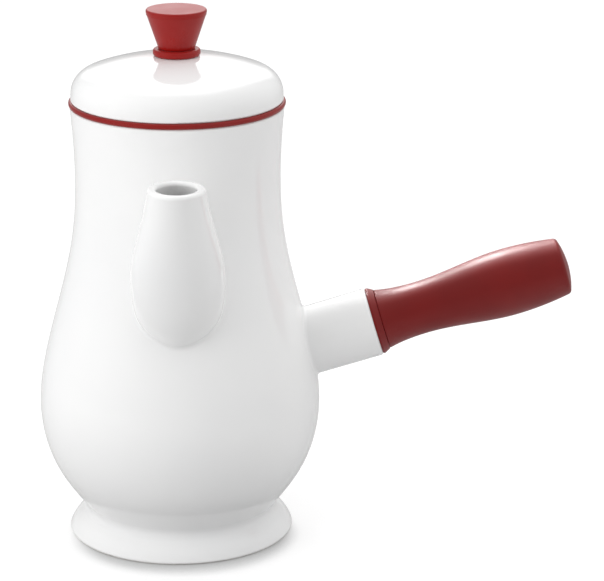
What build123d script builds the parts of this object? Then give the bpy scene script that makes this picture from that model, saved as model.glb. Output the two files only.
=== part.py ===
"""A lidded side-handled chocolate pot: glazed porcelain with red silicone-clad fittings.

The frame: the origin is the centre of the circle that the foot stands on, +Z is up, the spout
points along -Y and the handle along +X. Lengths are millimetres and angles are degrees.
Every piece is its own solid: the porcelain body, with the hollow spout and the handle socket
luted to it, the bolted-on handle, the lift-off lid with its bolted-on knob, and the seal ring
between lid and rim.
"""
import os
from math import cos, radians, sin, tan

from build123d import *

# ------------------------------------------------------------------ sizes of the foot
foot_radius = 49.6
foot_height = 10.4
foot_bulge = 1.4
foot_edge_rounding = 1.0
foot_land_width = 4.0
foot_well_depth = 3.5
foot_hollow_height = 6.0
foot_hollow_draft = 3.0
foot_hollow_rounding = 2.5
base_thickness = 5.0

# ------------------------------------------------------------------ sizes of the bowl and neck
waist_radius = 40.2
waist_spring_angle = 36.0
waist_rounding = 3.5
flank_radius = 54.5
flank_height = 31.0
belly_radius = 61.1
belly_height = 57.0
breast_radius = 58.0
breast_height = 83.0
shoulder_radius = 51.0
shoulder_height = 110.0
throat_radius = 45.3
throat_height = 138.0
neck_radius = 44.2
neck_height = 167.0
rim_radius = 45.8
rim_height = 191.4
rim_flare_angle = 5.5
rim_width = 4.6
rim_rounding = 0.9
pot_wall = 4.0
floor_rounding = 9.0
seat_depth = 18.0
join_stand = 2.0
join_rise = 6.0
wall_steps = 8
outline_halvings = 30

# ------------------------------------------------------------------ sizes of the spout
spout_toe_height = 97.0
spout_toe_sink = 5.6
spout_toe_width = 13.0
spout_toe_depth = 29.0
spout_toe_angle = 25.0
spout_toe_spread = 66.0
spout_chin_rise = 17.0
spout_chin_stand = 14.9
spout_bulge_rise = 32.0
spout_bulge_width = 39.2
spout_mouth_rise = 76.9
spout_mouth_reach = 72.5
spout_mouth_width = 23.6
spout_mouth_depth = 26.8
spout_lean = 20.0
spout_neck_taper = 6.5
spout_wall = 3.7
spout_lip_share = 0.36
spout_root_rounding = 2.2
spout_sections = 9
pour_hole_radius = 9.0
pour_hole_rise = 25.0
pour_hole_lead = 4.0

# ------------------------------------------------------------------ sizes of the handle
handle_axis_height = 68.2
handle_rise = 16.7
socket_root_reach = 45.0
socket_reach = 88.8
socket_root_radius = 14.9
socket_end_radius = 15.1
socket_end_rounding = 1.1
socket_root_rounding = 1.5
socket_bore_radius = 11.3
socket_depth = 24.0
collar_radius = 14.7
collar_nose_radius = 13.3
collar_rim_thickness = 0.9
collar_thickness = 3.4
collar_spigot_length = 3.0
collar_edge_rounding = 0.4
spigot_clearance = 0.15
grip_front_radius = 13.2
grip_front_lean = 14.0
grip_waist_radius = 11.4
grip_waist_reach = 17.8
grip_swell_radius = 14.65
grip_swell_reach = 57.5
grip_heel_radius = 12.4
grip_length = 84.6
grip_heel_dome = 2.2
grip_heel_lean = 10.0
grip_heel_rounding = 2.0
grip_front_rounding = 0.5
grip_wall = 2.6
stud_radius = 3.0
stud_length = 46.0
stud_clearance = 0.3
stud_in_anchor = 15.0
stud_end_room = 2.0
stud_chamfer = 0.4
anchor_radius = 8.6
anchor_groove_depth = 1.0
anchor_groove_width = 2.4
anchor_grooves = 2
cement_bed = 1.5
insert_radius = 4.6
insert_length = 14.0

# ------------------------------------------------------------------ sizes of the lid and its seal
seal_band_height = 2.4
seal_band_proud = 0.5
seal_band_rounding = 1.1
seal_sleeve_wall = 1.1
seal_sleeve_length = 10.0
seal_fins = 2
seal_fin_length = 1.2
seal_fin_thickness = 0.8
seal_fin_tip = 0.4
seal_fin_sweep = 0.6
seal_fin_pitch = 4.0
seal_fin_clearance = 0.1
turning_clearance = 0.1
lid_radius = 45.4
lid_height = 19.3
lid_side_taper = 2.1
lid_shoulder_rounding = 10.4
lid_crown_radius = 112.6
lid_edge_rounding = 0.8
lid_wall = 4.0
lid_flange_wall = 3.4
lid_bead = 0.7
lid_bead_height = 3.0
lid_bead_gap = 0.3
lid_pad_radius = 9.5
lid_pad_height = 0.6

# ------------------------------------------------------------------ sizes of the knob
knob_collar_radius = 10.1
knob_collar_thickness = 2.8
knob_collar_rounding = 1.2
knob_foot_radius = 7.7
knob_height = 16.9
knob_brow_radius = 12.6
knob_brow_step = 0.15
knob_band_height = 2.4
knob_top_radius = 13.1
knob_top_rounding = 0.9
knob_foot_rounding = 0.5
knob_skin = 2.4
screw_radius = 2.0
screw_hole_radius = 2.6
screw_head_radius = 3.7
screw_head_height = 2.4
screw_head_rounding = 0.8
screw_bite = 7.0
screw_end_room = 2.0
knob_insert_radius = 3.2
knob_insert_length = 8.5
gasket_radius = 8.2
gasket_thickness = 1.5
washer_radius = 6.8
washer_thickness = 1.0

overrun = 5.0
find_band = 0.01

# ------------------------------------------------------------------ shared places
base_height = foot_hollow_height + base_thickness
spout_chin_height = spout_toe_height + spout_chin_rise
spout_bulge_height = spout_toe_height + spout_bulge_rise
spout_mouth_height = spout_toe_height + spout_mouth_rise
pour_hole_height = spout_toe_height + pour_hole_rise
bore_radius = rim_radius - rim_width
seat_height = rim_height + seal_band_height
fin_radius = bore_radius - seal_fin_clearance
sleeve_outer_radius = fin_radius - seal_fin_length
sleeve_radius = sleeve_outer_radius - seal_sleeve_wall
flange_radius = sleeve_radius - turning_clearance
crown_height = seat_height + lid_height
pad_height = crown_height - lid_wall - lid_pad_height
knob_seat_height = crown_height + knob_collar_thickness
handle_direction = (cos(radians(handle_rise)), 0, sin(radians(handle_rise)))
handle_axis = Axis((0, 0, handle_axis_height), handle_direction)
handle_section = Plane((0, 0, handle_axis_height), x_dir=handle_direction, z_dir=(0, -1, 0))
handle_cross = Plane((0, 0, handle_axis_height), x_dir=(0, 1, 0), z_dir=handle_direction)
spout_side = Plane((0, 0, 0), x_dir=(0, -1, 0), z_dir=(-1, 0, 0))


def section_at(height):
    """The upright half-section plane whose local origin stands on the pot's axis at a height."""
    return Plane((0, 0, height), x_dir=(1, 0, 0), z_dir=(0, -1, 0))


def steep(angle):
    """A direction in a section that leans outward from upright by an angle."""
    return (sin(radians(angle)), cos(radians(angle)))


# ------------------------------------------------------------------ the pot's turned outline
with BuildLine() as outline:
    Spline(
        (waist_radius, foot_height),
        (flank_radius, flank_height),
        (belly_radius, belly_height),
        (breast_radius, breast_height),
        (shoulder_radius, shoulder_height),
        (throat_radius, throat_height),
        (neck_radius, neck_height),
        (rim_radius, rim_height),
        tangents=[steep(waist_spring_angle), steep(rim_flare_angle)],
        tangent_scalars=[1, 1],
    )
outline_curve = outline.line.edges()[0]


def outline_share(height):
    """How far along the outline it reaches a height between waist and rim, found by halving."""
    low, high = 0.0, 1.0
    for _ in range(outline_halvings):
        middle = (low + high) / 2
        if (outline_curve @ middle).Y < height:
            low = middle
        else:
            high = middle
    return low


def outline_radius(height):
    """The pot's outer radius at a height between the waist and the rim."""
    return (outline_curve @ outline_share(height)).X


def beside_outline(share, distance):
    """The point that stands off a share of the outline, outward, or inward if it's negative."""
    along = outline_curve % share
    return outline_curve @ share + Vector(along.Y, -along.X) * distance


with BuildPart() as pot_envelope:
    with BuildSketch(Plane.XZ) as envelope_section:
        with BuildLine():
            Line((0, 0), (foot_radius, 0))
            SagittaArc((foot_radius, 0), (waist_radius, foot_height), -foot_bulge)
            add(outline_curve)
            Line((rim_radius, rim_height), (0, rim_height))
            Line((0, rim_height), (0, 0))
        make_face()
        foot_corner = envelope_section.vertices().group_by(Axis.Y)[0].sort_by(Axis.X)[-1]
        fillet(foot_corner, foot_edge_rounding)
        rim_corner = envelope_section.vertices().group_by(Axis.Y)[-1].sort_by(Axis.X)[-1]
        fillet(rim_corner, rim_rounding)
    revolve(axis=Axis.Z)
    waist_edge = pot_envelope.edges().filter_by(GeomType.CIRCLE).filter_by_position(
        Axis.Z, foot_height - find_band, foot_height + find_band
    )
    fillet(waist_edge, waist_rounding)

# ------------------------------------------------------------------ the spout
with BuildLine() as spout_front_rail:
    Spline(
        (outline_radius(spout_toe_height) - spout_toe_sink, spout_toe_height),
        (outline_radius(spout_chin_height) + spout_chin_stand, spout_chin_height),
        (spout_mouth_reach + spout_mouth_depth / 2, spout_mouth_height),
        tangents=[steep(90 - spout_toe_angle), steep(spout_lean)],
    )
with BuildLine() as spout_back_rail:
    Line(
        (outline_radius(spout_toe_height) - spout_toe_sink - spout_toe_depth, spout_toe_height),
        (spout_mouth_reach - spout_mouth_depth / 2, spout_mouth_height),
    )
with BuildLine() as spout_width_rail:
    Spline(
        (spout_toe_width / 2, spout_toe_height),
        (spout_bulge_width / 2, spout_bulge_height),
        (spout_mouth_width / 2, spout_mouth_height),
        tangents=[steep(spout_toe_spread), steep(0), steep(-spout_neck_taper)],
    )


def spout_section(share, skin):
    """The plane, half-width and half-depth of the spout's section at a share of its rise,
    with a skin's thickness taken off all round."""
    front = spout_front_rail.line @ share
    back = spout_back_rail.line @ share
    middle = (front + back) / 2
    across = front - back
    plane = Plane(
        spout_side.from_local_coords(middle),
        x_dir=(1, 0, 0),
        z_dir=spout_side.from_local_coords(Vector(-across.Y, across.X)),
    )
    half_width = (spout_width_rail.line @ share).X - skin
    return plane, half_width, across.length / 2 - skin


spout_shares = [step / (spout_sections - 1) for step in range(spout_sections)]

with BuildPart() as spout_envelope:
    for share in spout_shares:
        plane, half_width, half_depth = spout_section(share, 0)
        with BuildSketch(plane):
            Ellipse(half_width, half_depth)
    loft()

with BuildPart() as spout_cavity:
    for share in spout_shares[1:]:
        plane, half_width, half_depth = spout_section(share, spout_wall)
        with BuildSketch(plane):
            Ellipse(half_width, half_depth)
    loft()
    add(pot_envelope.part, mode=Mode.SUBTRACT)


# ------------------------------------------------------------------ the hollow of the pot
with BuildPart() as pot_hollow:
    with BuildSketch(Plane.XZ) as hollow_section:
        with BuildLine():
            seat_share = outline_share(rim_height - seat_depth)
            wall_shares = [seat_share * step / wall_steps for step in range(wall_steps + 1)]
            wall_points = [beside_outline(share, -pot_wall) for share in wall_shares]
            spring = outline_curve % 0
            toe = wall_points[0] - spring * (overrun / spring.Y)
            ledge = wall_points[-1]
            Line((0, toe.Y), toe)
            Spline(
                toe,
                *wall_points,
                tangents=[spring, outline_curve % seat_share],
                tangent_scalars=[1, 1],
            )
            Line(ledge, (bore_radius, ledge.Y))
            Line((bore_radius, ledge.Y), (bore_radius, rim_height + overrun))
            Line((bore_radius, rim_height + overrun), (0, rim_height + overrun))
            Line((0, rim_height + overrun), (0, toe.Y))
        make_face()
        with Locations((0, base_height)):
            Rectangle(
                2 * belly_radius,
                rim_height,
                align=(Align.MIN, Align.MIN),
                mode=Mode.INTERSECT,
            )
        floor_corner = hollow_section.vertices().group_by(Axis.Y)[0].sort_by(Axis.X)[-1]
        fillet(floor_corner, floor_rounding)
    revolve(axis=Axis.Z)

# ------------------------------------------------------------------ the porcelain pot
with BuildPart() as fired_pot:
    add(pot_envelope.part)
    add(spout_envelope.part)
    fillet(fired_pot.edges(Select.NEW), spout_root_rounding)
    with BuildSketch(handle_cross.offset(socket_root_reach)):
        Circle(socket_root_radius)
    with BuildSketch(handle_cross.offset(socket_reach)):
        Circle(socket_end_radius)
    loft()
    fillet(fired_pot.edges(Select.NEW).filter_by(GeomType.BSPLINE), socket_root_rounding)
    socket_end = fired_pot.edges().filter_by(GeomType.CIRCLE).sort_by(Axis.X)[-1]
    fillet(socket_end, socket_end_rounding)
    with BuildSketch(handle_cross.offset(socket_reach)):
        Circle(socket_bore_radius)
    extrude(amount=-socket_depth, mode=Mode.SUBTRACT)
    add(pot_hollow.part, mode=Mode.SUBTRACT)
    add(spout_cavity.part, mode=Mode.SUBTRACT)
    with BuildSketch(Plane.XZ.offset(outline_radius(pour_hole_height) - pot_wall - overrun)):
        with Locations((0, pour_hole_height)):
            Circle(pour_hole_radius)
    extrude(amount=pot_wall + overrun + pour_hole_lead, mode=Mode.SUBTRACT)
    with BuildSketch(Plane.XZ) as foot_hollow_section:
        with BuildLine():
            hollow_radius = foot_radius - foot_edge_rounding - foot_land_width
            Polyline(
                (0, 0),
                (hollow_radius, 0),
                (hollow_radius, foot_well_depth),
                (hollow_radius - foot_hollow_draft, foot_hollow_height),
                (0, foot_hollow_height),
                close=True,
            )
        make_face()
        hollow_corner = foot_hollow_section.vertices().group_by(Axis.Y)[-1].sort_by(Axis.X)[-1]
        fillet(hollow_corner, foot_hollow_rounding)
    revolve(axis=Axis.Z, mode=Mode.SUBTRACT)
    mouth_edges = fired_pot.edges().filter_by(Axis.Z, reverse=True).filter_by_position(
        Axis.Z, spout_mouth_height - find_band, spout_mouth_height + find_band
    )
    fillet(mouth_edges, spout_lip_share * spout_wall)
    rim_edges = fired_pot.edges().filter_by(GeomType.CIRCLE).filter_by_position(
        Axis.Z, rim_height - find_band, rim_height + find_band
    )
    fillet(rim_edges.sort_by(SortBy.RADIUS)[0], rim_rounding)

# ------------------------------------------------------------------ its pieces, cast apart and luted
with BuildPart() as join_envelope:
    with BuildSketch(Plane.XZ):
        with BuildLine():
            join_start = outline_share(foot_height + join_rise)
            join_step = (1 - join_start) / wall_steps
            join_shares = [join_start + join_step * step for step in range(wall_steps + 1)]
            join_points = [beside_outline(share, join_stand) for share in join_shares]
            Spline(
                *join_points,
                tangents=[outline_curve % join_start, outline_curve % 1],
                tangent_scalars=[1, 1],
            )
            Polyline(
                join_points[-1],
                (join_points[-1].X, rim_height + overrun),
                (0, rim_height + overrun),
                (0, -overrun),
                (foot_radius + overrun, -overrun),
                (foot_radius + overrun, join_points[0].Y),
                join_points[0],
            )
        make_face()
    revolve(axis=Axis.Z)

with BuildPart() as luted_pieces:
    add(fired_pot.part)
    add(join_envelope.part, mode=Mode.SUBTRACT)

with BuildPart() as pot_body:
    add(fired_pot.part)
    add(join_envelope.part, mode=Mode.INTERSECT)
pot_body.part.label = "pot_body"

with BuildPart() as spout:
    add(luted_pieces.solids().sort_by(Axis.Y)[0])
spout.part.label = "spout"

with BuildPart() as handle_socket:
    add(luted_pieces.solids().sort_by(Axis.X)[-1])
handle_socket.part.label = "handle_socket"

# ------------------------------------------------------------------ inside the handle socket
anchor_start = socket_reach - socket_depth + cement_bed
anchor_end = socket_reach - collar_spigot_length - turning_clearance
stud_start = anchor_end - stud_in_anchor
stud_end = stud_start + stud_length
collar_end = socket_reach + collar_thickness
core_clearance_radius = stud_radius + stud_clearance

with BuildPart() as anchor_blank:
    with BuildSketch(handle_cross.offset(anchor_start)):
        Circle(anchor_radius)
    extrude(amount=anchor_end - anchor_start)
    for groove in range(anchor_grooves):
        share = (groove + 1) / (anchor_grooves + 1)
        groove_middle = anchor_start + (anchor_end - anchor_start) * share
        with BuildSketch(handle_cross.offset(groove_middle - anchor_groove_width / 2)):
            Circle(anchor_radius + overrun)
            Circle(anchor_radius - anchor_groove_depth, mode=Mode.SUBTRACT)
        extrude(amount=anchor_groove_width, mode=Mode.SUBTRACT)

with BuildPart() as socket_cement:
    with BuildSketch(handle_cross.offset(socket_reach - socket_depth)):
        Circle(socket_bore_radius)
    extrude(amount=anchor_end - socket_reach + socket_depth)
    add(anchor_blank.part, mode=Mode.SUBTRACT)
socket_cement.part.label = "socket_cement"

with BuildPart() as socket_anchor:
    add(anchor_blank.part)
    with BuildSketch(handle_cross.offset(anchor_end)):
        Circle(stud_radius)
    extrude(amount=-stud_in_anchor, mode=Mode.SUBTRACT)
socket_anchor.part.label = "socket_anchor"

with BuildPart() as handle_stud:
    with BuildSketch(handle_cross.offset(stud_start)):
        Circle(stud_radius)
    extrude(amount=stud_length)
    chamfer(handle_stud.edges().filter_by(GeomType.CIRCLE).sort_by(Axis.X)[-1], stud_chamfer)
handle_stud.part.label = "handle_stud"

# ------------------------------------------------------------------ the handle
with BuildPart() as handle_collar:
    with BuildSketch(handle_section) as collar_section:
        with BuildLine():
            spigot_radius = socket_bore_radius - spigot_clearance
            Polyline(
                (socket_reach - collar_spigot_length, core_clearance_radius),
                (socket_reach - collar_spigot_length, spigot_radius),
                (socket_reach, spigot_radius),
                (socket_reach, collar_radius),
                (socket_reach + collar_rim_thickness, collar_radius),
                (collar_end, collar_nose_radius),
                (collar_end, core_clearance_radius),
                close=True,
            )
        make_face()
        fillet(collar_section.vertices().sort_by(Axis.Y)[-3:], collar_edge_rounding)
    revolve(axis=handle_axis)
handle_collar.part.label = "handle_collar"


def grip_section(skin):
    """The grip's half-section, with a skin's thickness taken off its side and heel."""
    heel_end = collar_end + grip_length - skin
    with BuildSketch(handle_section) as section:
        with BuildLine():
            Spline(
                (collar_end, grip_front_radius - skin),
                (collar_end + grip_waist_reach, grip_waist_radius - skin),
                (collar_end + grip_swell_reach, grip_swell_radius - skin),
                (heel_end - grip_heel_dome, grip_heel_radius - skin),
                tangents=[steep(90 + grip_front_lean), (1, 0), (1, 0), steep(90 + grip_heel_lean)],
            )
            TangentArc(
                (heel_end, 0),
                (heel_end - grip_heel_dome, grip_heel_radius - skin),
                tangent=(0, 1),
            )
            Polyline((heel_end, 0), (collar_end, 0), (collar_end, grip_front_radius - skin))
        make_face()
        fillet(section.vertices().sort_by(Axis.X)[-2], grip_heel_rounding)
    return section.sketch


with BuildPart() as handle_grip:
    revolve(grip_section(0), axis=handle_axis)
    front_edge = handle_grip.edges().filter_by(GeomType.CIRCLE).sort_by(Axis.X)[0]
    fillet(front_edge, grip_front_rounding)
    revolve(grip_section(grip_wall), axis=handle_axis, mode=Mode.SUBTRACT)
handle_grip.part.label = "handle_grip"

with BuildPart() as grip_core:
    revolve(grip_section(grip_wall), axis=handle_axis)
    with BuildSketch(handle_cross.offset(collar_end)):
        Circle(insert_radius)
    extrude(amount=insert_length, mode=Mode.SUBTRACT)
    with BuildSketch(handle_cross.offset(collar_end)):
        Circle(core_clearance_radius)
    extrude(amount=stud_end + stud_end_room - collar_end, mode=Mode.SUBTRACT)
grip_core.part.label = "grip_core"

with BuildPart() as grip_insert:
    with BuildSketch(handle_cross.offset(collar_end)):
        Circle(insert_radius)
        Circle(stud_radius, mode=Mode.SUBTRACT)
    extrude(amount=insert_length)
grip_insert.part.label = "grip_insert"

# ------------------------------------------------------------------ the lid
with BuildPart() as lid:
    with BuildSketch(section_at(seat_height)) as dome_section:
        lean_in = lid_height * tan(radians(lid_side_taper))
        with BuildLine():
            Polyline(
                (0, 0),
                (lid_radius, 0),
                (lid_radius - lean_in, lid_height),
                (0, lid_height),
                close=True,
            )
        make_face()
        with Locations((0, lid_height - lid_crown_radius)):
            Circle(lid_crown_radius, mode=Mode.INTERSECT)
        fillet(dome_section.vertices().group_by(Axis.Y)[1], lid_shoulder_rounding)
        lid_corner = dome_section.vertices().group_by(Axis.Y)[0].sort_by(Axis.X)[-1]
        fillet(lid_corner, lid_edge_rounding)
    revolve(axis=Axis.Z)
    with BuildSketch(section_at(seat_height)):
        with BuildLine():
            bead_top = -(seal_band_height + seal_sleeve_length + lid_bead_gap)
            flange_end = bead_top - lid_bead_height
            Polyline(
                (0, lid_wall / 2),
                (flange_radius, lid_wall / 2),
                (flange_radius, bead_top),
                (flange_radius + lid_bead, bead_top - lid_bead),
                (flange_radius + lid_bead, flange_end + lid_bead),
                (flange_radius, flange_end),
                (0, flange_end),
                close=True,
            )
        make_face()
    revolve(axis=Axis.Z)
    with BuildSketch(section_at(seat_height)) as under_dome_section:
        with BuildLine():
            Polyline(
                (0, 0),
                (lid_radius - lid_wall, 0),
                (lid_radius - lid_wall - lean_in, lid_height),
                (0, lid_height),
                close=True,
            )
        make_face()
        with Locations((0, lid_height - lid_crown_radius)):
            Circle(lid_crown_radius - lid_wall, mode=Mode.INTERSECT)
        under_shoulder = under_dome_section.vertices().group_by(Axis.Y)[1]
        fillet(under_shoulder, lid_shoulder_rounding - lid_wall)
        with Locations((0, lid_wall)):
            Rectangle(lid_radius, lid_height, align=(Align.MIN, Align.MIN), mode=Mode.INTERSECT)
    revolve(axis=Axis.Z, mode=Mode.SUBTRACT)
    with BuildSketch(section_at(seat_height)):
        with Locations((0, flange_end - overrun)):
            Rectangle(
                flange_radius - lid_flange_wall,
                overrun - flange_end + lid_wall + lid_pad_height,
                align=(Align.MIN, Align.MIN),
            )
    revolve(axis=Axis.Z, mode=Mode.SUBTRACT)
    with BuildSketch(Plane.XY.offset(pad_height)):
        Circle(lid_pad_radius)
    extrude(amount=lid_pad_height + lid_wall / 2)
    with BuildSketch(Plane.XY.offset(pad_height - overrun)):
        Circle(screw_hole_radius)
    extrude(amount=crown_height - pad_height + 2 * overrun, mode=Mode.SUBTRACT)
lid.part.label = "lid"

# ------------------------------------------------------------------ the seal between lid and rim
with BuildPart() as lid_seal:
    with BuildSketch(section_at(rim_height)) as seal_section:
        with Locations((sleeve_radius, 0)):
            Rectangle(
                rim_radius + seal_band_proud - sleeve_radius,
                seal_band_height,
                align=(Align.MIN, Align.MIN),
            )
        fillet(seal_section.vertices().sort_by(Axis.X)[-2:], seal_band_rounding)
        with Locations((sleeve_radius, -seal_sleeve_length)):
            Rectangle(seal_sleeve_wall, seal_sleeve_length, align=(Align.MIN, Align.MIN))
        for fin in range(seal_fins):
            with BuildLine():
                fin_foot = -seal_fin_pitch * (fin + 1)
                Polyline(
                    (sleeve_radius, fin_foot),
                    (sleeve_outer_radius, fin_foot),
                    (fin_radius, fin_foot + seal_fin_sweep),
                    (fin_radius, fin_foot + seal_fin_sweep - seal_fin_tip),
                    (sleeve_outer_radius, fin_foot - seal_fin_thickness),
                    (sleeve_radius, fin_foot - seal_fin_thickness),
                    close=True,
                )
            make_face()
    revolve(axis=Axis.Z)
lid_seal.part.label = "lid_seal"

# ------------------------------------------------------------------ the knob
with BuildPart() as knob_collar:
    with BuildSketch(section_at(crown_height)) as knob_collar_section:
        with Locations((screw_hole_radius, -lid_wall / 2)):
            Rectangle(
                knob_collar_radius - screw_hole_radius,
                knob_collar_thickness + lid_wall / 2,
                align=(Align.MIN, Align.MIN),
            )
        with Locations((0, -lid_crown_radius)):
            Circle(lid_crown_radius, mode=Mode.SUBTRACT)
        fillet(knob_collar_section.vertices().sort_by(Axis.X)[-2:], knob_collar_rounding)
    revolve(axis=Axis.Z)
knob_collar.part.label = "knob_collar"

brow_height = knob_height - knob_band_height
with BuildPart() as knob_core_blank:
    with BuildSketch(section_at(knob_seat_height)):
        with BuildLine():
            Polyline(
                (0, 0),
                (knob_foot_radius - knob_skin, 0),
                (knob_brow_radius - knob_skin, brow_height),
                (0, brow_height),
                close=True,
            )
        make_face()
    revolve(axis=Axis.Z)

with BuildPart() as knob:
    with BuildSketch(section_at(knob_seat_height)) as knob_section:
        with BuildLine():
            Polyline(
                (0, 0),
                (knob_foot_radius, 0),
                (knob_brow_radius, brow_height),
                (knob_brow_radius + knob_brow_step, brow_height),
                (knob_top_radius, knob_height),
                (0, knob_height),
                close=True,
            )
        make_face()
        knob_rows = knob_section.vertices().group_by(Axis.Y)
        fillet(knob_rows[-1].sort_by(Axis.X)[-1], knob_top_rounding)
        fillet(knob_section.vertices().group_by(Axis.Y)[0].sort_by(Axis.X)[-1], knob_foot_rounding)
    revolve(axis=Axis.Z)
    add(knob_core_blank.part, mode=Mode.SUBTRACT)
knob.part.label = "knob"

with BuildPart() as knob_core:
    add(knob_core_blank.part)
    with BuildSketch(Plane.XY.offset(knob_seat_height)):
        Circle(knob_insert_radius)
    extrude(amount=knob_insert_length, mode=Mode.SUBTRACT)
    with BuildSketch(Plane.XY.offset(knob_seat_height)):
        Circle(screw_hole_radius)
    extrude(amount=screw_bite + screw_end_room, mode=Mode.SUBTRACT)
knob_core.part.label = "knob_core"

with BuildPart() as knob_insert:
    with BuildSketch(Plane.XY.offset(knob_seat_height)):
        Circle(knob_insert_radius)
        Circle(screw_radius, mode=Mode.SUBTRACT)
    extrude(amount=knob_insert_length)
knob_insert.part.label = "knob_insert"

# ------------------------------------------------------------------ the knob's fixing under the lid
with BuildPart() as knob_gasket:
    with BuildSketch(Plane.XY.offset(pad_height)):
        Circle(gasket_radius)
        Circle(screw_hole_radius, mode=Mode.SUBTRACT)
    extrude(amount=-gasket_thickness)
knob_gasket.part.label = "knob_gasket"

washer_top = pad_height - gasket_thickness
with BuildPart() as knob_washer:
    with BuildSketch(Plane.XY.offset(washer_top)):
        Circle(washer_radius)
        Circle(screw_hole_radius, mode=Mode.SUBTRACT)
    extrude(amount=-washer_thickness)
knob_washer.part.label = "knob_washer"

screw_head_top = washer_top - washer_thickness
with BuildPart() as knob_screw:
    with BuildSketch(Plane.XY.offset(screw_head_top)):
        Circle(screw_head_radius)
    extrude(amount=-screw_head_height)
    head_edge = knob_screw.edges().filter_by(GeomType.CIRCLE).group_by(Axis.Z)[0]
    fillet(head_edge, screw_head_rounding)
    with BuildSketch(Plane.XY.offset(screw_head_top)):
        Circle(screw_radius)
    extrude(amount=knob_seat_height + screw_bite - screw_head_top)
knob_screw.part.label = "knob_screw"

# ------------------------------------------------------------------ writing the pieces
pieces = (
    pot_body,
    spout,
    handle_socket,
    socket_cement,
    socket_anchor,
    handle_stud,
    handle_collar,
    handle_grip,
    grip_core,
    grip_insert,
    lid_seal,
    lid,
    knob_collar,
    knob,
    knob_core,
    knob_insert,
    knob_gasket,
    knob_washer,
    knob_screw,
)
os.makedirs("parts", exist_ok=True)
for piece in pieces:
    export_step(piece.part, f"parts/{piece.part.label}.step")
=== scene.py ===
"""Dresses a porcelain chocolate pot: glazed body, silicone fittings and the fixings inside them.

Everything is in metres in the part's own frame: the origin is the centre of the foot, +Z is up,
the spout points along -Y and the handle along +X, rising.
"""

import logging
import math
from dataclasses import dataclass, field
from enum import Enum
from typing import Callable, Union

import bmesh
import bpy
from mathutils import Matrix, Vector

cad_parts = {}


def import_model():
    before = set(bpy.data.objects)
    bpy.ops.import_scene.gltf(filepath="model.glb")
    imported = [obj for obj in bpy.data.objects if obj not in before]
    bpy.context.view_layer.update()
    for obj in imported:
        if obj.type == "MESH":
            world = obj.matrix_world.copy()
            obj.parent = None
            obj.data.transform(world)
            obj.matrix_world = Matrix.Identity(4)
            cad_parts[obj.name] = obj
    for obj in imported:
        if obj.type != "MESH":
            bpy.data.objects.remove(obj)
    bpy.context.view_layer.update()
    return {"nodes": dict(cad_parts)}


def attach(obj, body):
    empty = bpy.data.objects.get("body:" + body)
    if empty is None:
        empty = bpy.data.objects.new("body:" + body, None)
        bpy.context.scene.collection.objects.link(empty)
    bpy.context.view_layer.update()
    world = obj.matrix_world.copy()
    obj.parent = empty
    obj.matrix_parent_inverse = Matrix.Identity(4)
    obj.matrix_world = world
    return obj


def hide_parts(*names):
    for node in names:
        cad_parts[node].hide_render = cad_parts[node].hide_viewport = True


LOG = logging.getLogger("chocolate_pot")

Number = Union[int, float]
Colour = tuple[float, float, float]
Value = Union["Wire", Number, Colour]
Ring = tuple[float, Callable[[float], float]]

BLACK: Colour = (0.0, 0.0, 0.0)
WHITE: Colour = (1.0, 1.0, 1.0)


class Body(Enum):
    """The bodies that new pieces ride on."""

    POT = "pot"
    LID = "lid"


class Slot(Enum):
    """Names of the record's finishes."""

    STEEL = "steel"


class Wire:
    """A node's output socket, with the arithmetic of values."""

    def __init__(self, bench: "Bench", socket: bpy.types.NodeSocket) -> None:
        """Keep the socket and the bench that its node stands on."""
        self.bench = bench
        self.socket = socket

    def _math(self, operation: str, first: Value, second: Value) -> "Wire":
        """Add one Math node.

        Args:
            operation: the node's operation.
            first: its first value.
            second: its second value.

        Returns:
            The node's result.
        """
        return self.bench.node("ShaderNodeMath", {"operation": operation}, {0: first, 1: second})

    def __add__(self, other: Value) -> "Wire":
        """This value plus another."""
        return self._math("ADD", self, other)

    __radd__ = __add__

    def __sub__(self, other: Value) -> "Wire":
        """This value less another."""
        return self._math("SUBTRACT", self, other)

    def __rsub__(self, other: Value) -> "Wire":
        """Another value less this one."""
        return self._math("SUBTRACT", other, self)

    def __mul__(self, other: Value) -> "Wire":
        """This value times another."""
        return self._math("MULTIPLY", self, other)

    __rmul__ = __mul__


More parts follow.
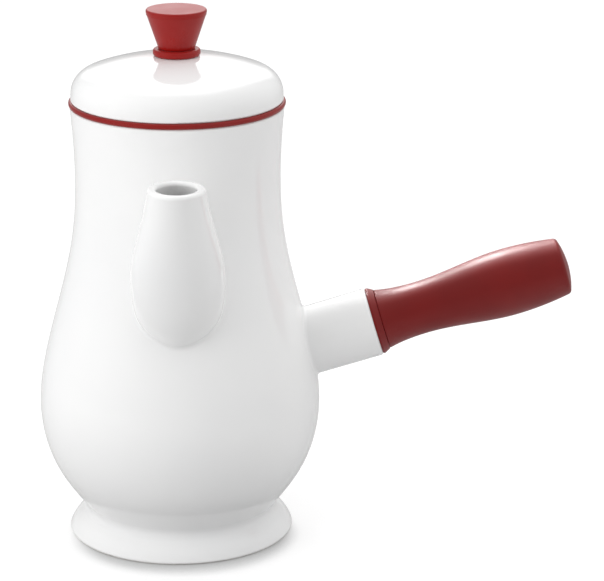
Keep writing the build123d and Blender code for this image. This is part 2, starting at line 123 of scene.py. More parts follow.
class Bench:
    """The node tree of a material or the world, emptied and ready to be laid out."""

    def __init__(self, tree: bpy.types.NodeTree) -> None:
        """Clear the tree."""
        self.tree = tree
        tree.nodes.clear()

    def node(
        self,
        kind: str,
        settings: dict[str, object],
        sockets: dict[Union[int, str], Value],
        output: Union[int, str] = 0,
    ) -> Wire:
        """Add one node, with its settings first and its sockets after them.

        Args:
            kind: the node's type.
            settings: its properties; "stops" are a colour ramp's (place, colour) pairs.
            sockets: a value or a wire for each named or numbered input.
            output: which output to hand on.

        Returns:
            The chosen output.
        """
        made = self.tree.nodes.new(kind)
        for name, setting in settings.items():
            if name == "stops":
                self._set_stops(made.color_ramp, setting)
            else:
                setattr(made, name, setting)
        for name, value in sockets.items():
            if isinstance(value, Wire):
                self.tree.links.new(value.socket, made.inputs[name])
            elif isinstance(value, tuple) and made.inputs[name].type == "RGBA":
                made.inputs[name].default_value = (*value, 1.0)
            else:
                made.inputs[name].default_value = value
        outputs = made.outputs
        return Wire(self, outputs[output]) if len(outputs) else Wire(self, None)

    @staticmethod
    def _set_stops(ramp: bpy.types.ColorRamp, stops: list[tuple[float, Colour]]) -> None:
        """Give a colour ramp its stops.

        Args:
            ramp: the ramp.
            stops: the place and the colour of each stop, in rising order.
        """
        while len(ramp.elements) < len(stops):
            ramp.elements.new(1.0)
        for element, (place, colour) in zip(ramp.elements, stops):
            element.position = place
            element.color = (*colour, 1.0)

    def place(self) -> Wire:
        """The point being shaded, in the piece's own metres."""
        return self.node("ShaderNodeTexCoord", {}, {}, "Object")

    def part_of(self, vector: Wire, axis: str) -> Wire:
        """One of a vector's three parts, X, Y or Z."""
        return self.node("ShaderNodeSeparateXYZ", {}, {0: vector}, axis)

    def noise(self, scale: float, detail: float = 2.0, at: Union[Wire, None] = None) -> Wire:
        """A soft noise between 0 and 1.

        Args:
            scale: features to a metre.
            detail: how many finer octaves it has.
            at: where it is read, or the piece's own place.

        Returns:
            The noise value.
        """
        where = at or self.place()
        return self.node(
            "ShaderNodeTexNoise", {}, {"Vector": where, "Scale": scale, "Detail": detail}
        )

    def step(
        self, value: Value, low: float, high: float, to: tuple[float, float] = (0.0, 1.0)
    ) -> Wire:
        """A smooth step of a value.

        Args:
            value: what is measured.
            low: where the step starts.
            high: where it ends.
            to: what it gives before and after the step.

        Returns:
            The stepped value.
        """
        return self.node(
            "ShaderNodeMapRange",
            {"interpolation_type": "SMOOTHSTEP"},
            {"Value": value, "From Min": low, "From Max": high, "To Min": to[0], "To Max": to[1]},
        )

    def blend(self, share: Value, first: Value, second: Value) -> Wire:
        """A mix of two colours.

        Args:
            share: how much of the second colour shows.
            first: the colour at a share of 0.
            second: the colour at a share of 1.

        Returns:
            The mixed colour.
        """
        return self.node("ShaderNodeMix", {"data_type": "RGBA"}, {0: share, 6: first, 7: second}, 2)

    def bump(self, height: Wire, depth: float, under: Union[Wire, None] = None) -> Wire:
        """A relief on the surface.

        Args:
            height: the relief, from 0 to 1.
            depth: how far it rises, in metres.
            under: the relief that it lies on.

        Returns:
            The bent normal.
        """
        sockets = {"Height": height, "Distance": depth}
        if under:
            sockets["Normal"] = under
        return self.node("ShaderNodeBump", {}, sockets)


def new_bench(name: str) -> tuple[bpy.types.Material, Bench]:
    """Start a material.

    Args:
        name: the material's name.

    Returns:
        The material and the bench of its node tree.
    """
    material = bpy.data.materials.new(name)
    material.use_nodes = True
    return material, Bench(material.node_tree)


def finish_surface(bench: Bench, sockets: dict[str, Value]) -> None:
    """Lay the shader and the output that end a material.

    Args:
        bench: the material's bench.
        sockets: the values of the shader's sockets.
    """
    shader = bench.node("ShaderNodeBsdfPrincipled", {}, sockets, "BSDF")
    bench.node("ShaderNodeOutputMaterial", {}, {"Surface": shader})


@dataclass(frozen=True)
class Glaze:
    """Clear gloss glaze over white porcelain, wiped off where the ware stood in the kiln."""

    body: Colour = (0.878, 0.878, 0.876)
    pooled: Colour = (0.846, 0.850, 0.855)
    biscuit: Colour = (0.79, 0.765, 0.72)
    gloss: tuple[float, float] = (0.045, 0.095)
    biscuit_roughness: float = 0.72
    glass_index: float = 1.51
    pool_scale: float = 15.6
    pool_bounds: tuple[float, float] = (0.35, 0.72)
    pool_share: float = 0.55
    haze_scale: float = 80.6
    wave_scale: float = 26.0
    wave_depth: float = 0.00034
    peel_scale: float = 620.0
    peel_depth: float = 0.0000065
    grain_scale: float = 2600.0
    grain_depth: float = 0.00006
    grain_share: float = 0.35
    wiped_edge: float = 0.0006

    def material(self, name: str, wiped_below: float) -> bpy.types.Material:
        """Make the glaze for one piece.

        Args:
            name: the material's name.
            wiped_below: the height under which the biscuit is bare.

        Returns:
            The material.
        """
        material, bench = new_bench(name)
        height = bench.part_of(bench.place(), "Z")
        bare = bench.step(height, wiped_below - self.wiped_edge, wiped_below, (1.0, 0.0))
        pools = bench.step(bench.noise(self.pool_scale, detail=3.0), *self.pool_bounds)
        glassy = bench.blend(pools * self.pool_share, self.body, self.pooled)
        grain = bench.noise(self.grain_scale, detail=3.0)
        stone = bench.blend(grain * self.grain_share, self.biscuit, self.pooled)
        haze = bench.noise(self.haze_scale, detail=4.0)
        shine = haze * (self.gloss[1] - self.gloss[0]) + self.gloss[0]
        waves = bench.bump(bench.noise(self.wave_scale, detail=1.0), self.wave_depth)
        peel = bench.bump(bench.noise(self.peel_scale), self.peel_depth, waves)
        rough = bench.bump(grain * bare, self.grain_depth, peel)
        finish_surface(
            bench,
            {
                "Base Color": bench.blend(bare, glassy, stone),
                "Roughness": bare * self.biscuit_roughness + (1.0 - bare) * shine,
                "IOR": self.glass_index,
                "Normal": rough,
            },
        )
        return material


@dataclass(frozen=True)
class Silicone:
    """Satin moulded silicone, faintly polished where it is handled."""

    deep: Colour
    worn: Colour
    satin: tuple[float, float] = (0.24, 0.36)
    index: float = 1.41
    bloom_colour: Colour = (1.0, 0.62, 0.60)
    bloom: float = 0.06
    bloom_roughness: float = 0.42
    cloud_scale: float = 55.0
    cloud_bounds: tuple[float, float] = (0.32, 0.70)
    cloud_share: float = 0.7
    speck_share: float = 0.25
    speck_roughness: float = 0.05
    skin_scale: float = 3800.0
    skin_depth: float = 0.0000055
    pull_scale: float = 160.0
    pull_depth: float = 0.00004

    def material(self, name: str) -> bpy.types.Material:
        """Make the silicone for one piece.

        Args:
            name: the material's name.

        Returns:
            The material.
        """
        material, bench = new_bench(name)
        cloud = bench.step(bench.noise(self.cloud_scale, detail=4.0), *self.cloud_bounds)
        speck = bench.noise(self.skin_scale)
        wear = cloud * self.cloud_share + speck * self.speck_share
        polish = cloud * (self.satin[0] - self.satin[1]) + self.satin[1]
        pulled = bench.bump(bench.noise(self.pull_scale), self.pull_depth)
        finish_surface(
            bench,
            {
                "Base Color": bench.blend(wear, self.deep, self.worn),
                "Roughness": polish + speck * self.speck_roughness,
                "IOR": self.index,
                "Sheen Weight": self.bloom,
                "Sheen Roughness": self.bloom_roughness,
                "Sheen Tint": self.bloom_colour,
                "Normal": bench.bump(speck, self.skin_depth, pulled),
            },
        )
        return material


# One red silicone in three tints, as painted light and shade: the grip's deeper red stands for the
# shade it sits in, and the ring's and the knob's lighter reds stand for the stronger light that
# falls on them.
GRIP_SILICONE_PAINTED_SHADE = Silicone((0.165, 0.0012, 0.0008), (0.190, 0.0030, 0.0022), satin=(0.36, 0.44))
RING_SILICONE_PAINTED_LIGHT = Silicone((0.235, 0.0030, 0.0020), (0.260, 0.0050, 0.0036))
KNOB_SILICONE_PAINTED_LIGHT = Silicone((0.285, 0.0035, 0.0022), (0.320, 0.0060, 0.0042))


@dataclass(frozen=True)
class ClearSilicone:
    """Milky clear silicone, as a gasket is cut from."""

    milk: Colour = (0.80, 0.80, 0.78)
    shade: Colour = (0.68, 0.68, 0.66)
    roughness: float = 0.3
    roughness_spread: float = 0.2
    passing: float = 0.45
    index: float = 1.41
    cloud_scale: float = 420.0
    depth: float = 0.00002

    def material(self, name: str) -> bpy.types.Material:
        """Make the clear silicone.

        Args:
            name: the material's name.

        Returns:
            The material.
        """
        material, bench = new_bench(name)
        cloud = bench.noise(self.cloud_scale, detail=4.0)
        finish_surface(
            bench,
            {
                "Base Color": bench.blend(cloud, self.milk, self.shade),
                "Roughness": cloud * self.roughness_spread + self.roughness,
                "Transmission Weight": self.passing,
                "IOR": self.index,
                "Normal": bench.bump(cloud, self.depth),
            },
        )
        return material


@dataclass(frozen=True)
class FilledNylon:
    """Black nylon with short glass fibres showing at its skin."""

    resin: Colour = (0.022, 0.022, 0.023)
    fibre: Colour = (0.10, 0.10, 0.098)
    roughness: float = 0.46
    roughness_spread: float = 0.18
    cloud_scale: float = 120.0
    fibre_scale: float = 1500.0
    fibre_run: tuple[float, float, float] = (0.18, 1.0, 1.0)
    fibre_bounds: tuple[float, float] = (0.60, 0.70)
    fibre_share: float = 0.6
    fibre_depth: float = 0.00003

    def material(self, name: str) -> bpy.types.Material:
        """Make the nylon.

        Args:
            name: the material's name.

        Returns:
            The material.
        """
        material, bench = new_bench(name)
        flow = bench.node(
            "ShaderNodeVectorMath",
            {"operation": "MULTIPLY"},
            {0: bench.place(), 1: self.fibre_run},
        )
        fibres = bench.step(bench.noise(self.fibre_scale, at=flow), *self.fibre_bounds)
        cloud = bench.noise(self.cloud_scale, detail=3.0)
        finish_surface(
            bench,
            {
                "Base Color": bench.blend(fibres * self.fibre_share, self.resin, self.fibre),
                "Roughness": cloud * self.roughness_spread + self.roughness,
                "Normal": bench.bump(fibres, self.fibre_depth),
            },
        )
        return material


@dataclass(frozen=True)
class TurnedMetal:
    """Bright metal with the fine rings that a lathe leaves around its axis."""

    bright: Colour
    dulled: Colour
    roughness: float
    cloud_scale: float = 120.0
    cloud_bounds: tuple[float, float] = (0.35, 0.7)
    cloud_roughness: float = 0.12
    ring_scale: float = 2400.0
    ring_detail: float = 3.0
    ring_roughness: float = 0.14
    ring_depth: float = 0.000004

    def material(self, name: str, along: Vector) -> bpy.types.Material:
        """Make the metal.

        Args:
            name: the material's name.
            along: the axis that the piece was turned on.

        Returns:
            The material.
        """
        material, bench = new_bench(name)
        rise = bench.node(
            "ShaderNodeVectorMath",
            {"operation": "DOT_PRODUCT"},
            {0: bench.place(), 1: tuple(along)},
            "Value",
        )
        rings = bench.node(
            "ShaderNodeTexNoise",
            {"noise_dimensions": "1D"},
            {"W": rise, "Scale": self.ring_scale, "Detail": self.ring_detail},
        )
        cloud = bench.step(bench.noise(self.cloud_scale, detail=4.0), *self.cloud_bounds)
        unevenness = cloud * self.cloud_roughness + rings * self.ring_roughness
        finish_surface(
            bench,
            {
                "Base Color": bench.blend(cloud, self.bright, self.dulled),
                "Metallic": 1.0,
                "Roughness": unevenness + self.roughness,
                "Normal": bench.bump(rings, self.ring_depth),
            },
        )
        return material


@dataclass(frozen=True)
class Cement:
    """Cast porcelain cement, chalky and pitted."""

    chalk: Colour = (0.66, 0.64, 0.60)
    sand: Colour = (0.45, 0.43, 0.40)
    roughness: float = 0.88
    roughness_spread: float = 0.1
    pit_bounds: tuple[float, float] = (0.30, 0.46)
    pit_share: float = 0.5
    grit_scale: float = 1100.0
    grit_depth: float = 0.00012

    def material(self, name: str) -> bpy.types.Material:
        """Make the cement.

        Args:
            name: the material's name.

        Returns:
            The material.
        """
        material, bench = new_bench(name)
        grit = bench.noise(self.grit_scale, detail=5.0)
        pits = bench.step(grit, *self.pit_bounds, (1.0, 0.0))
        finish_surface(
            bench,
            {
                "Base Color": bench.blend(pits, self.chalk, self.sand),
                "Roughness": grit * self.roughness_spread + self.roughness,
                "Normal": bench.bump(grit - pits * self.pit_share, self.grit_depth),
            },
        )
        return material


@dataclass
class Lathe:
    """A closed mesh of rings around a straight axis, for threads and turned heads."""

    start: Vector
    along: Vector
    spokes: int = 32
    crease: float = math.radians(38.0)

    def frame(self) -> Matrix:
        """The matrix that stands the axis on its start, pointing along."""
        turn = self.along.to_track_quat("Z", "Y").to_matrix().to_4x4()
        return Matrix.Translation(self.start) @ turn

    def mesh(self, name: str, rings: list[Ring]) -> bpy.types.Object:
        """Skin a stack of rings and close its ends.

        Args:
            name: the piece's name.
            rings: the place of each ring along the axis and its radius for a share of a turn.

        Returns:
            The piece.
        """
        model = bmesh.new()
        loops = []
        for rise, radius in rings:
            loop = []
            for spoke in range(self.spokes):
                share = spoke / self.spokes
                reach = radius(share)
                angle = math.tau * share
                spot = (reach * math.cos(angle), reach * math.sin(angle), rise)
                loop.append(model.verts.new(spot))
            loops.append(loop)
        for lower, upper in zip(loops, loops[1:]):
            for spoke in range(self.spokes):
                following = (spoke + 1) % self.spokes
                model.faces.new((lower[spoke], lower[following], upper[following], upper[spoke]))
        return self._finished(name, model, [loops[0][::-1], loops[-1]])

    def _finished(
        self, name: str, model: bmesh.types.BMesh, caps: list[list[bmesh.types.BMVert]]
    ) -> bpy.types.Object:
        """Cap the ends, set the piece on its axis and link it.

        Args:
            name: the piece's name.
            model: the rings' faces.
            caps: the loops that are closed with a face.

        Returns:
            The piece.
        """
        for cap in caps:
            model.faces.new(cap)
        model.transform(self.frame())
        bmesh.ops.recalc_face_normals(model, faces=model.faces)
        data = bpy.data.meshes.new(name)
        model.to_mesh(data)
        model.free()
        data.shade_smooth()
        data.set_sharp_from_angle(angle=self.crease)
        piece = bpy.data.objects.new(name, data)
        bpy.context.scene.collection.objects.link(piece)
        return piece


@dataclass
class Thread:
    """A screw thread's sizes, rolled on a plain shank."""

    major: float
    pitch: float
    depth_share: float = 0.54
    crest_share: float = 0.16
    steps: int = 8

    def radius(self, rise: float, share: float) -> float:
        """The thread's radius at a height along the shank and a share of a turn.

        Args:
            rise: how far along the shank.
            share: the share of a turn around it.

        Returns:
            The radius there.
        """
        phase = (rise / self.pitch - share) % 1.0
        slope = abs(2.0 * phase - 1.0)
        cut = min(1.0, max(0.0, (slope - self.crest_share) / (1.0 - 2.0 * self.crest_share)))
        return self.major - self.depth_share * self.pitch * cut

    def rings(self, low: float, high: float) -> list[Ring]:
        """The rings of a length of thread.

        Args:
            low: where it starts along the shank.
            high: where it ends.

        Returns:
            A ring for each step of the thread.
        """
        count = max(2, round((high - low) / self.pitch * self.steps))
        places = [low + (high - low) * step / count for step in range(count + 1)]
        return [(rise, lambda share, rise=rise: self.radius(rise, share)) for rise in places]

    def root(self) -> float:
        """The radius at the foot of the thread."""
        return self.major - self.depth_share * self.pitch


def plain(radius: float) -> Callable[[float], float]:
    """A round ring's radius, the same all round."""
    return lambda share: radius


def take_finish(piece: bpy.types.Object, material: bpy.types.Material) -> None:
    """Give a piece one finish all over."""
    piece.data.materials.clear()
    piece.data.materials.append(material)


def mount_piece(
    piece: bpy.types.Object, body: Body, slot: Slot, material: bpy.types.Material, *nodes: str
) -> None:
    """Hang a new piece on its body in place of the nodes that it stands for.

    Args:
        piece: the new piece.
        body: the body that carries it.
        slot: not used.
        material: how it looks.
        nodes: the nodes that it replaces.
    """
    take_finish(piece, material)
    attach(piece, body.value)
    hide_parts(*nodes)
    LOG.info("%s stands for %s: %d faces", piece.name, ", ".join(nodes), len(piece.data.polygons))


@dataclass
class Dresser:
    """Gives the frame's own nodes their finishes."""

    nodes: dict[str, bpy.types.Object]

    def dress(self, node: str, material: bpy.types.Material) -> None:
        """Put a finish on one node.

        Args:
            node: the node's name.
            material: its finish.
        """
        piece = self.nodes[node]
        if not piece.material_slots:
            piece.data.materials.append(material)
        for slot in piece.material_slots:
            slot.material = material
        LOG.info("%s wears %s", node, material.name)


@dataclass
class FiredWare:
    """The porcelain: the body with the spout and the handle socket luted to it."""

    dresser: Dresser
    glaze: Glaze = field(default_factory=Glaze)
    foot_wipe: float = 0.0011

    def build(self) -> None:
        """Glaze the body, the spout and the socket alike, with a bare ring under the foot."""
        glazed = self.glaze.material("white_glaze", self.foot_wipe)
        for node in ("pot_body", "spout", "handle_socket"):
            self.dresser.dress(node, glazed)


@dataclass
class SideHandle:
    """The bolted-on handle: cemented anchor, stud, collar, and silicone over a nylon core."""

    dresser: Dresser
    red: bpy.types.Material
    black: bpy.types.Material
    axis_height: float = 0.0682
    rise: float = math.radians(16.7)
    stud_start: float = 0.0707
    stud_length: float = 0.046
    stud_chamfer: float = 0.0007
    thread: Thread = field(default_factory=lambda: Thread(0.003, 0.001))
    steel: TurnedMetal = field(
        default_factory=lambda: TurnedMetal((0.62, 0.62, 0.61), (0.50, 0.50, 0.49), 0.22)
    )
    brass: TurnedMetal = field(
        default_factory=lambda: TurnedMetal((0.76, 0.56, 0.27), (0.60, 0.42, 0.20), 0.26)
    )
    cement: Cement = field(default_factory=Cement)

    def along(self) -> Vector:
        """The direction that the handle points in."""
        return Vector((math.cos(self.rise), 0.0, math.sin(self.rise)))

    def at(self, reach: float) -> Vector:
        """The point on the handle's axis at a distance from the pot's own."""
        return Vector((0.0, 0.0, self.axis_height)) + self.along() * reach

    def build(self) -> None:
        """Dress the handle's nodes and turn its threaded stud."""
        self.dresser.dress("handle_grip", self.red)
        self.dresser.dress("handle_collar", self.red)
        self.dresser.dress("grip_core", self.black)
        self.dresser.dress("grip_insert", self.brass.material("turned_brass", self.along()))
        self.dresser.dress("socket_cement", self.cement.material("cast_cement"))
        metal = self.steel.material("turned_steel", self.along())
        self.dresser.dress("socket_anchor", metal)
        self.build_stud(metal)

    def build_stud(self, metal: bpy.types.Material) -> None:
        """Roll the stud's thread, with a chamfer at its free end.

        Args:
            metal: the stud's finish.
        """
        lathe = Lathe(self.at(self.stud_start), self.along())
        shank_end = self.stud_length - self.stud_chamfer
        rings = self.thread.rings(0.0, shank_end)
        rings.append((self.stud_length, plain(self.thread.root() - self.stud_chamfer / 2)))
        stud = lathe.mesh("threaded_stud", rings)
        mount_piece(stud, Body.POT, Slot.STEEL, metal, "handle_stud")


@dataclass
class SealRing:
    """The silicone ring between the lid and the rim."""

    dresser: Dresser
    red: bpy.types.Material

    def build(self) -> None:
        """Dress the ring."""
        self.dresser.dress("lid_seal", self.red)


@dataclass
class Lid:
    """The porcelain lid, bare where it stood on its flange in the kiln."""

    dresser: Dresser
    glaze: Glaze = field(default_factory=Glaze)
    flange_end: float = 0.1781
    wipe: float = 0.0012

    def build(self) -> None:
        """Glaze the lid."""
        glazed = self.glaze.material("lid_glaze", self.flange_end + self.wipe)
        self.dresser.dress("lid", glazed)


@dataclass
class Knob:
    """The silicone knob over its nylon core, with its collar and the screw that holds it."""

    dresser: Dresser
    red: bpy.types.Material
    black: bpy.types.Material
    head_top: float = 0.2060
    head_radius: float = 0.0037
    head_height: float = 0.0024
    head_rounding: float = 0.0008
    rounding_steps: int = 5
    head_edge: float = 0.00004
    head_spokes: int = 48
    recess_radius: float = 0.00135
    recess_depth: float = 0.0013
    recess_loops: tuple[float, ...] = (1.0, 0.98, 0.08)
    recess_mouth: float = 1.06
    thread_start: float = 0.0005
    shank_end: float = 0.2229
    shank_chamfer: float = 0.0004
    thread: Thread = field(default_factory=lambda: Thread(0.002, 0.0007))
    steel: TurnedMetal = field(
        default_factory=lambda: TurnedMetal((0.64, 0.64, 0.63), (0.52, 0.52, 0.51), 0.20)
    )
    brass: TurnedMetal = field(
        default_factory=lambda: TurnedMetal((0.76, 0.56, 0.27), (0.60, 0.42, 0.20), 0.26)
    )
    gasket: ClearSilicone = field(default_factory=ClearSilicone)

    def build(self) -> None:
        """Dress the knob's nodes and turn its screw."""
        upright = Vector((0.0, 0.0, 1.0))
        self.dresser.dress("knob", self.red)
        self.dresser.dress("knob_collar", self.red)
        self.dresser.dress("knob_core", self.black)
        self.dresser.dress("knob_insert", self.brass.material("knob_brass", upright))
        self.dresser.dress("knob_gasket", self.gasket.material("milky_silicone"))
        metal = self.steel.material("knob_steel", upright)
        self.dresser.dress("knob_washer", metal)
        self.build_screw(metal)

    def hexagon(self, share: float) -> float:
        """The radius of the hexagonal recess at a share of a turn.

        Args:
            share: the share of a turn around it.

        Returns:
            The radius there.
        """
        half_side = math.pi / 6
        aside = (share * math.tau) % (2.0 * half_side) - half_side
        return self.recess_radius * math.cos(half_side) / math.cos(aside)

    def build_screw(self, metal: bpy.types.Material) -> None:
        """Turn the pan-head screw, head down, with a hexagonal recess.

        Args:
            metal: the screw's finish.
        """
        upright = Vector((0.0, 0.0, 1.0))
        lathe = Lathe(upright * self.head_top, upright, self.head_spokes)
        low = -self.head_height
        rings = [(low + self.recess_depth * share, self.hexagon) for share in self.recess_loops]
        rings.append((low, lambda share: self.hexagon(share) * self.recess_mouth))
        for step in range(self.rounding_steps + 1):
            angle = math.pi / 2 * step / self.rounding_steps
            rise = low + self.head_rounding * (1.0 - math.cos(angle))
            reach = self.head_radius - self.head_rounding * (1.0 - math.sin(angle))
            rings.append((rise, plain(reach)))
        rings.append((-self.head_edge, plain(self.head_radius)))
        rings.append((0.0, plain(self.head_radius - self.head_edge)))
        rings.append((0.0, plain(self.thread.major)))
        shank = self.shank_end - self.head_top
        rings += self.thread.rings(self.thread_start, shank - self.shank_chamfer)
        rings.append((shank, plain(self.thread.root() - self.shank_chamfer / 2)))
        screw = lathe.mesh("pan_screw", rings)
        mount_piece(screw, Body.LID, Slot.STEEL, metal, "knob_screw")


@dataclass
class Softbox:
    """One soft rectangular lamp, with a beam of its own width in degrees."""

    name: str
    place: tuple[float, float, float]
    aim: tuple[float, float, float]
    width: float
    height: float
    power: float
    spread: float = 180.0
    reflected: bool = False

    def build(self) -> None:
        """Hang the lamp and point it at its aim."""
        data = bpy.data.lights.new(self.name, "AREA")
        data.shape = "RECTANGLE"
        data.size = self.width
        data.size_y = self.height
        data.energy = self.power
        data.spread = math.radians(self.spread)
        lamp = bpy.data.objects.new(self.name, data)
        lamp.visible_glossy = self.reflected
        lamp.location = self.place
        facing = Vector(self.aim) - Vector(self.place)
        lamp.rotation_euler = facing.to_track_quat("-Z", "Y").to_euler()
        bpy.context.scene.collection.objects.link(lamp)


@dataclass(frozen=True)
class TentPanel:
    """One side of the white tent: how bright it is, and how far it spreads around its middle."""

    facing: tuple[float, float, float]
    level: float
    spread: tuple[float, float]


@dataclass
class Studio:
    """A white sweep inside a tent of soft panels, and the camera."""

    lens: float = 165.3
    sensor: float = 36.0
    camera_place: tuple[float, float, float] = (0.01115, -1.15213, 0.46660)
    camera_turn: float = math.radians(-2.1)
    camera_tilt: float = math.radians(72.72)
    camera_roll: float = math.radians(0.18)
    floor_radius: float = 1.5
    floor_fade: tuple[float, float] = (0.75, 1.47)
    floor_spokes: int = 64
    floor_colour: Colour = (0.50, 0.50, 0.50)
    floor_lift: float = 0.53
    floor_gloss_share: float = 0.10
    # The contact fields shape a painted shadow on the floor: an occlusion reading leaned towards
    # the back and a ring around a point in front of the foot darken the floor's colour and its
    # lift.
    contact_samples: int = 16
    contact_reach: float = 0.032
    contact_lean: tuple[float, float, float] = (-0.10, 0.96, 0.25)
    contact_shade: tuple[float, float, float, float] = (0.48, 0.84, 0.50, 1.0)
    painted_shadow_middle: tuple[float, float, float] = (0.002, -0.016, 0.0)
    painted_shadow_bounds: tuple[float, float] = (0.040, 0.053)
    tent_level: float = 0.655
    panels: tuple[TentPanel, ...] = (
        TentPanel((-1.0, 0.0, 0.15), 0.22, (0.2, 0.95)),
        TentPanel((1.0, 0.0, 0.15), 0.45, (0.2, 0.95)),
        TentPanel((0.0, 0.15, 1.0), 0.44, (0.5, 0.98)),
    )
    gloss_share: float = 0.56
    strip_level: float = 2.1
    strip_width: tuple[float, float] = (0.10, 0.45)
    strip_lift: tuple[float, float] = (0.06, 0.36)
    strip_end: tuple[float, float] = (-0.12, 0.22)
    softboxes: tuple[Softbox, ...] = (
        Softbox("key_softbox", (-0.58, -0.36, 0.30), (0.0, 0.0, 0.16), 0.5, 0.5, 1.95),
        Softbox("rim_softbox", (0.35, 0.95, 0.95), (0.08, 0.0, 0.12), 1.2, 0.5, 3.1),
        Softbox(
            "handle_softbox",
            (0.08, 0.27, 0.37),
            (0.170, 0.0, 0.12),
            0.16,
            0.18,
            0.095,
            spread=20.0,
            reflected=True,
        ),
    )

    def build(self) -> None:
        """Set up the light, the floor and the camera."""
        scene = bpy.context.scene
        scene.view_settings.view_transform = "Standard"
        self.light_world()
        for softbox in self.softboxes:
            softbox.build()
        self.lay_floor()
        self.place_camera()
        LOG.info("studio: %d softboxes", len(self.softboxes))

    def light_world(self) -> None:
        """Surround the pot with a white tent of soft panels."""
        world = bpy.data.worlds.new("white_tent")
        world.use_nodes = True
        bpy.context.scene.world = world
        bench = Bench(world.node_tree)
        outward = bench.node("ShaderNodeTexCoord", {}, {}, "Generated")
        tent = self.tent_level
        for panel in self.panels:
            tent = tent + self.lit_panel(bench, outward, panel)
        glossy = bench.node("ShaderNodeLightPath", {}, {}, "Is Glossy Ray")
        seen = bench.node("ShaderNodeLightPath", {}, {}, "Is Camera Ray")
        dimmed = tent * (1.0 - glossy * (1.0 - self.gloss_share))
        level = dimmed + self.lit_strip(bench, outward) * glossy
        glow = bench.node(
            "ShaderNodeBackground",
            {},
            {"Color": WHITE, "Strength": seen + (1.0 - seen) * level},
        )
        bench.node("ShaderNodeOutputWorld", {}, {"Surface": glow})

    @staticmethod
    def lit_panel(bench: Bench, outward: Wire, panel: TentPanel) -> Wire:
        """The glow of one panel, brightest at its middle.

        Args:
            bench: the world's bench.
            outward: the direction looked in.
            panel: the panel.

        Returns:
            Its strength in that direction.
        """
        toward = tuple(Vector(panel.facing).normalized())
        along = bench.node(
            "ShaderNodeVectorMath", {"operation": "DOT_PRODUCT"}, {0: outward, 1: toward}, "Value"
        )
        return bench.step(along, *panel.spread, (0.0, panel.level))

    def lit_strip(self, bench: Bench, outward: Wire) -> Wire:
        """The glow of the strip light that runs up behind the pot and over it.

        Args:
            bench: the world's bench.
            outward: the direction looked in.

        Returns:
            Its strength in that direction.
        """
        aside = bench.part_of(outward, "X")
        narrow = bench.step(aside * aside, *(edge * edge for edge in self.strip_width), (1.0, 0.0))
        behind = bench.step(bench.part_of(outward, "Y"), *self.strip_end, (0.0, self.strip_level))
        raised = bench.step(bench.part_of(outward, "Z"), *self.strip_lift)
        return narrow * behind * raised

    def lay_floor(self) -> None:
        """Lay a round white floor that fades into the tent at its edge."""
        model = bmesh.new()
        rim = []
        for spoke in range(self.floor_spokes):
            angle = math.tau * spoke / self.floor_spokes
            spot = (self.floor_radius * math.cos(angle), self.floor_radius * math.sin(angle), 0.0)
            rim.append(model.verts.new(spot))
        model.faces.new(rim)
        data = bpy.data.meshes.new("floor")
        model.to_mesh(data)
        model.free()
        floor = bpy.data.objects.new("floor", data)
        bpy.context.scene.collection.objects.link(floor)
        take_finish(floor, self.floor_finish())

    def floor_finish(self) -> bpy.types.Material:
        """Make the floor's matt white, lifted to the tent's white for the camera alone, with a
        painted contact shadow darkening it around the foot.

        Returns:
            The material.
        """
        material, bench = new_bench("matt_white_sweep")
        spot = bench.place()
        reach = bench.node("ShaderNodeVectorMath", {"operation": "LENGTH"}, {0: spot}, "Value")
        fade = bench.step(reach, *self.floor_fade)
        seen = bench.node("ShaderNodeLightPath", {}, {}, "Is Camera Ray")
        glossy = bench.node("ShaderNodeLightPath", {}, {}, "Is Glossy Ray")
        # Painted contact shadow: the occlusion and a ring around a point in front of the foot
        # darken the floor's colour and its lift.
        open_sky = bench.node(
            "ShaderNodeAmbientOcclusion",
            {"samples": self.contact_samples},
            {"Distance": self.contact_reach, "Normal": self.contact_lean},
            "AO",
        )
        low, high, dark, clear = self.contact_shade
        away = bench.node(
            "ShaderNodeVectorMath",
            {"operation": "DISTANCE"},
            {0: spot, 1: self.painted_shadow_middle},
            "Value",
        )
        painted_shadow_ring = bench.step(away, *self.painted_shadow_bounds, (1.0, 0.0))
        lit = 1.0 - (1.0 - bench.step(open_sky, low, high, (dark, clear))) * painted_shadow_ring
        paper = bench.node(
            "ShaderNodeBsdfDiffuse", {}, {"Color": bench.blend(lit, BLACK, self.floor_colour)}
        )
        shown = (seen + glossy * self.floor_gloss_share) * lit
        lift = bench.node(
            "ShaderNodeEmission",
            {},
            {"Color": bench.blend(shown, BLACK, WHITE), "Strength": self.floor_lift},
        )
        sweep = bench.node("ShaderNodeAddShader", {}, {0: paper, 1: lift})
        gone = bench.node("ShaderNodeBsdfTransparent", {}, {})
        surface = bench.node("ShaderNodeMixShader", {}, {0: fade, 1: sweep, 2: gone})
        bench.node("ShaderNodeOutputMaterial", {}, {"Surface": surface})
        return material

    def place_camera(self) -> None:
        """Stand the camera where the pot is looked at from."""
        data = bpy.data.cameras.new("camera")
        data.lens = self.lens
        data.sensor_width = self.sensor
        data.sensor_fit = "HORIZONTAL"
        camera = bpy.data.objects.new("camera", data)
        turn = Matrix.Rotation(self.camera_turn, 4, "Z")
        tilt = Matrix.Rotation(self.camera_tilt, 4, "X")
        roll = Matrix.Rotation(self.camera_roll, 4, "Z")
        camera.matrix_world = Matrix.Translation(self.camera_place) @ turn @ tilt @ roll
        bpy.context.scene.collection.objects.link(camera)
        bpy.context.scene.camera = camera


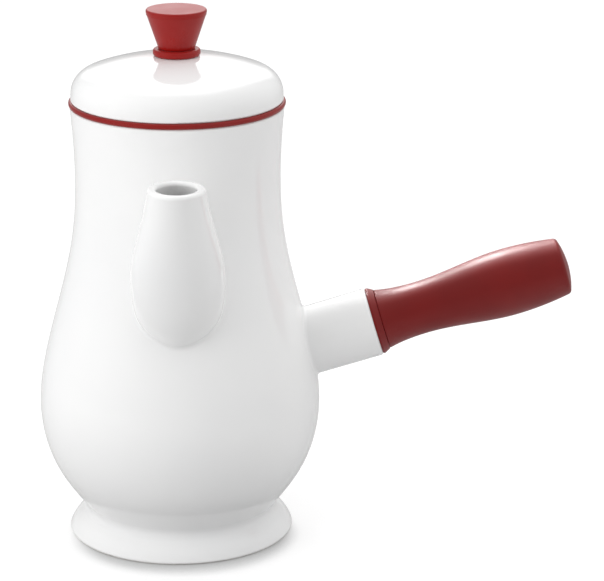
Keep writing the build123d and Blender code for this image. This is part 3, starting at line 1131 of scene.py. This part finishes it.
def main() -> None:
    """Load the frame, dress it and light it."""
    logging.basicConfig(level=logging.INFO, format="%(name)s: %(message)s")
    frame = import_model()
    dresser = Dresser(frame["nodes"])
    # Painted light and shade: the three reds are one silicone, tinted darker for the grip and
    # lighter for the ring and the knob.
    grip_red = GRIP_SILICONE_PAINTED_SHADE.material("red_silicone_painted_shade")
    ring_red = RING_SILICONE_PAINTED_LIGHT.material("red_silicone_painted_ring_light")
    knob_red = KNOB_SILICONE_PAINTED_LIGHT.material("red_silicone_painted_knob_light")
    black = FilledNylon().material("filled_nylon")
    FiredWare(dresser).build()
    SideHandle(dresser, grip_red, black).build()
    SealRing(dresser, ring_red).build()
    Lid(dresser).build()
    Knob(dresser, knob_red, black).build()
    Studio().build()


if __name__ == "__main__":
    main()
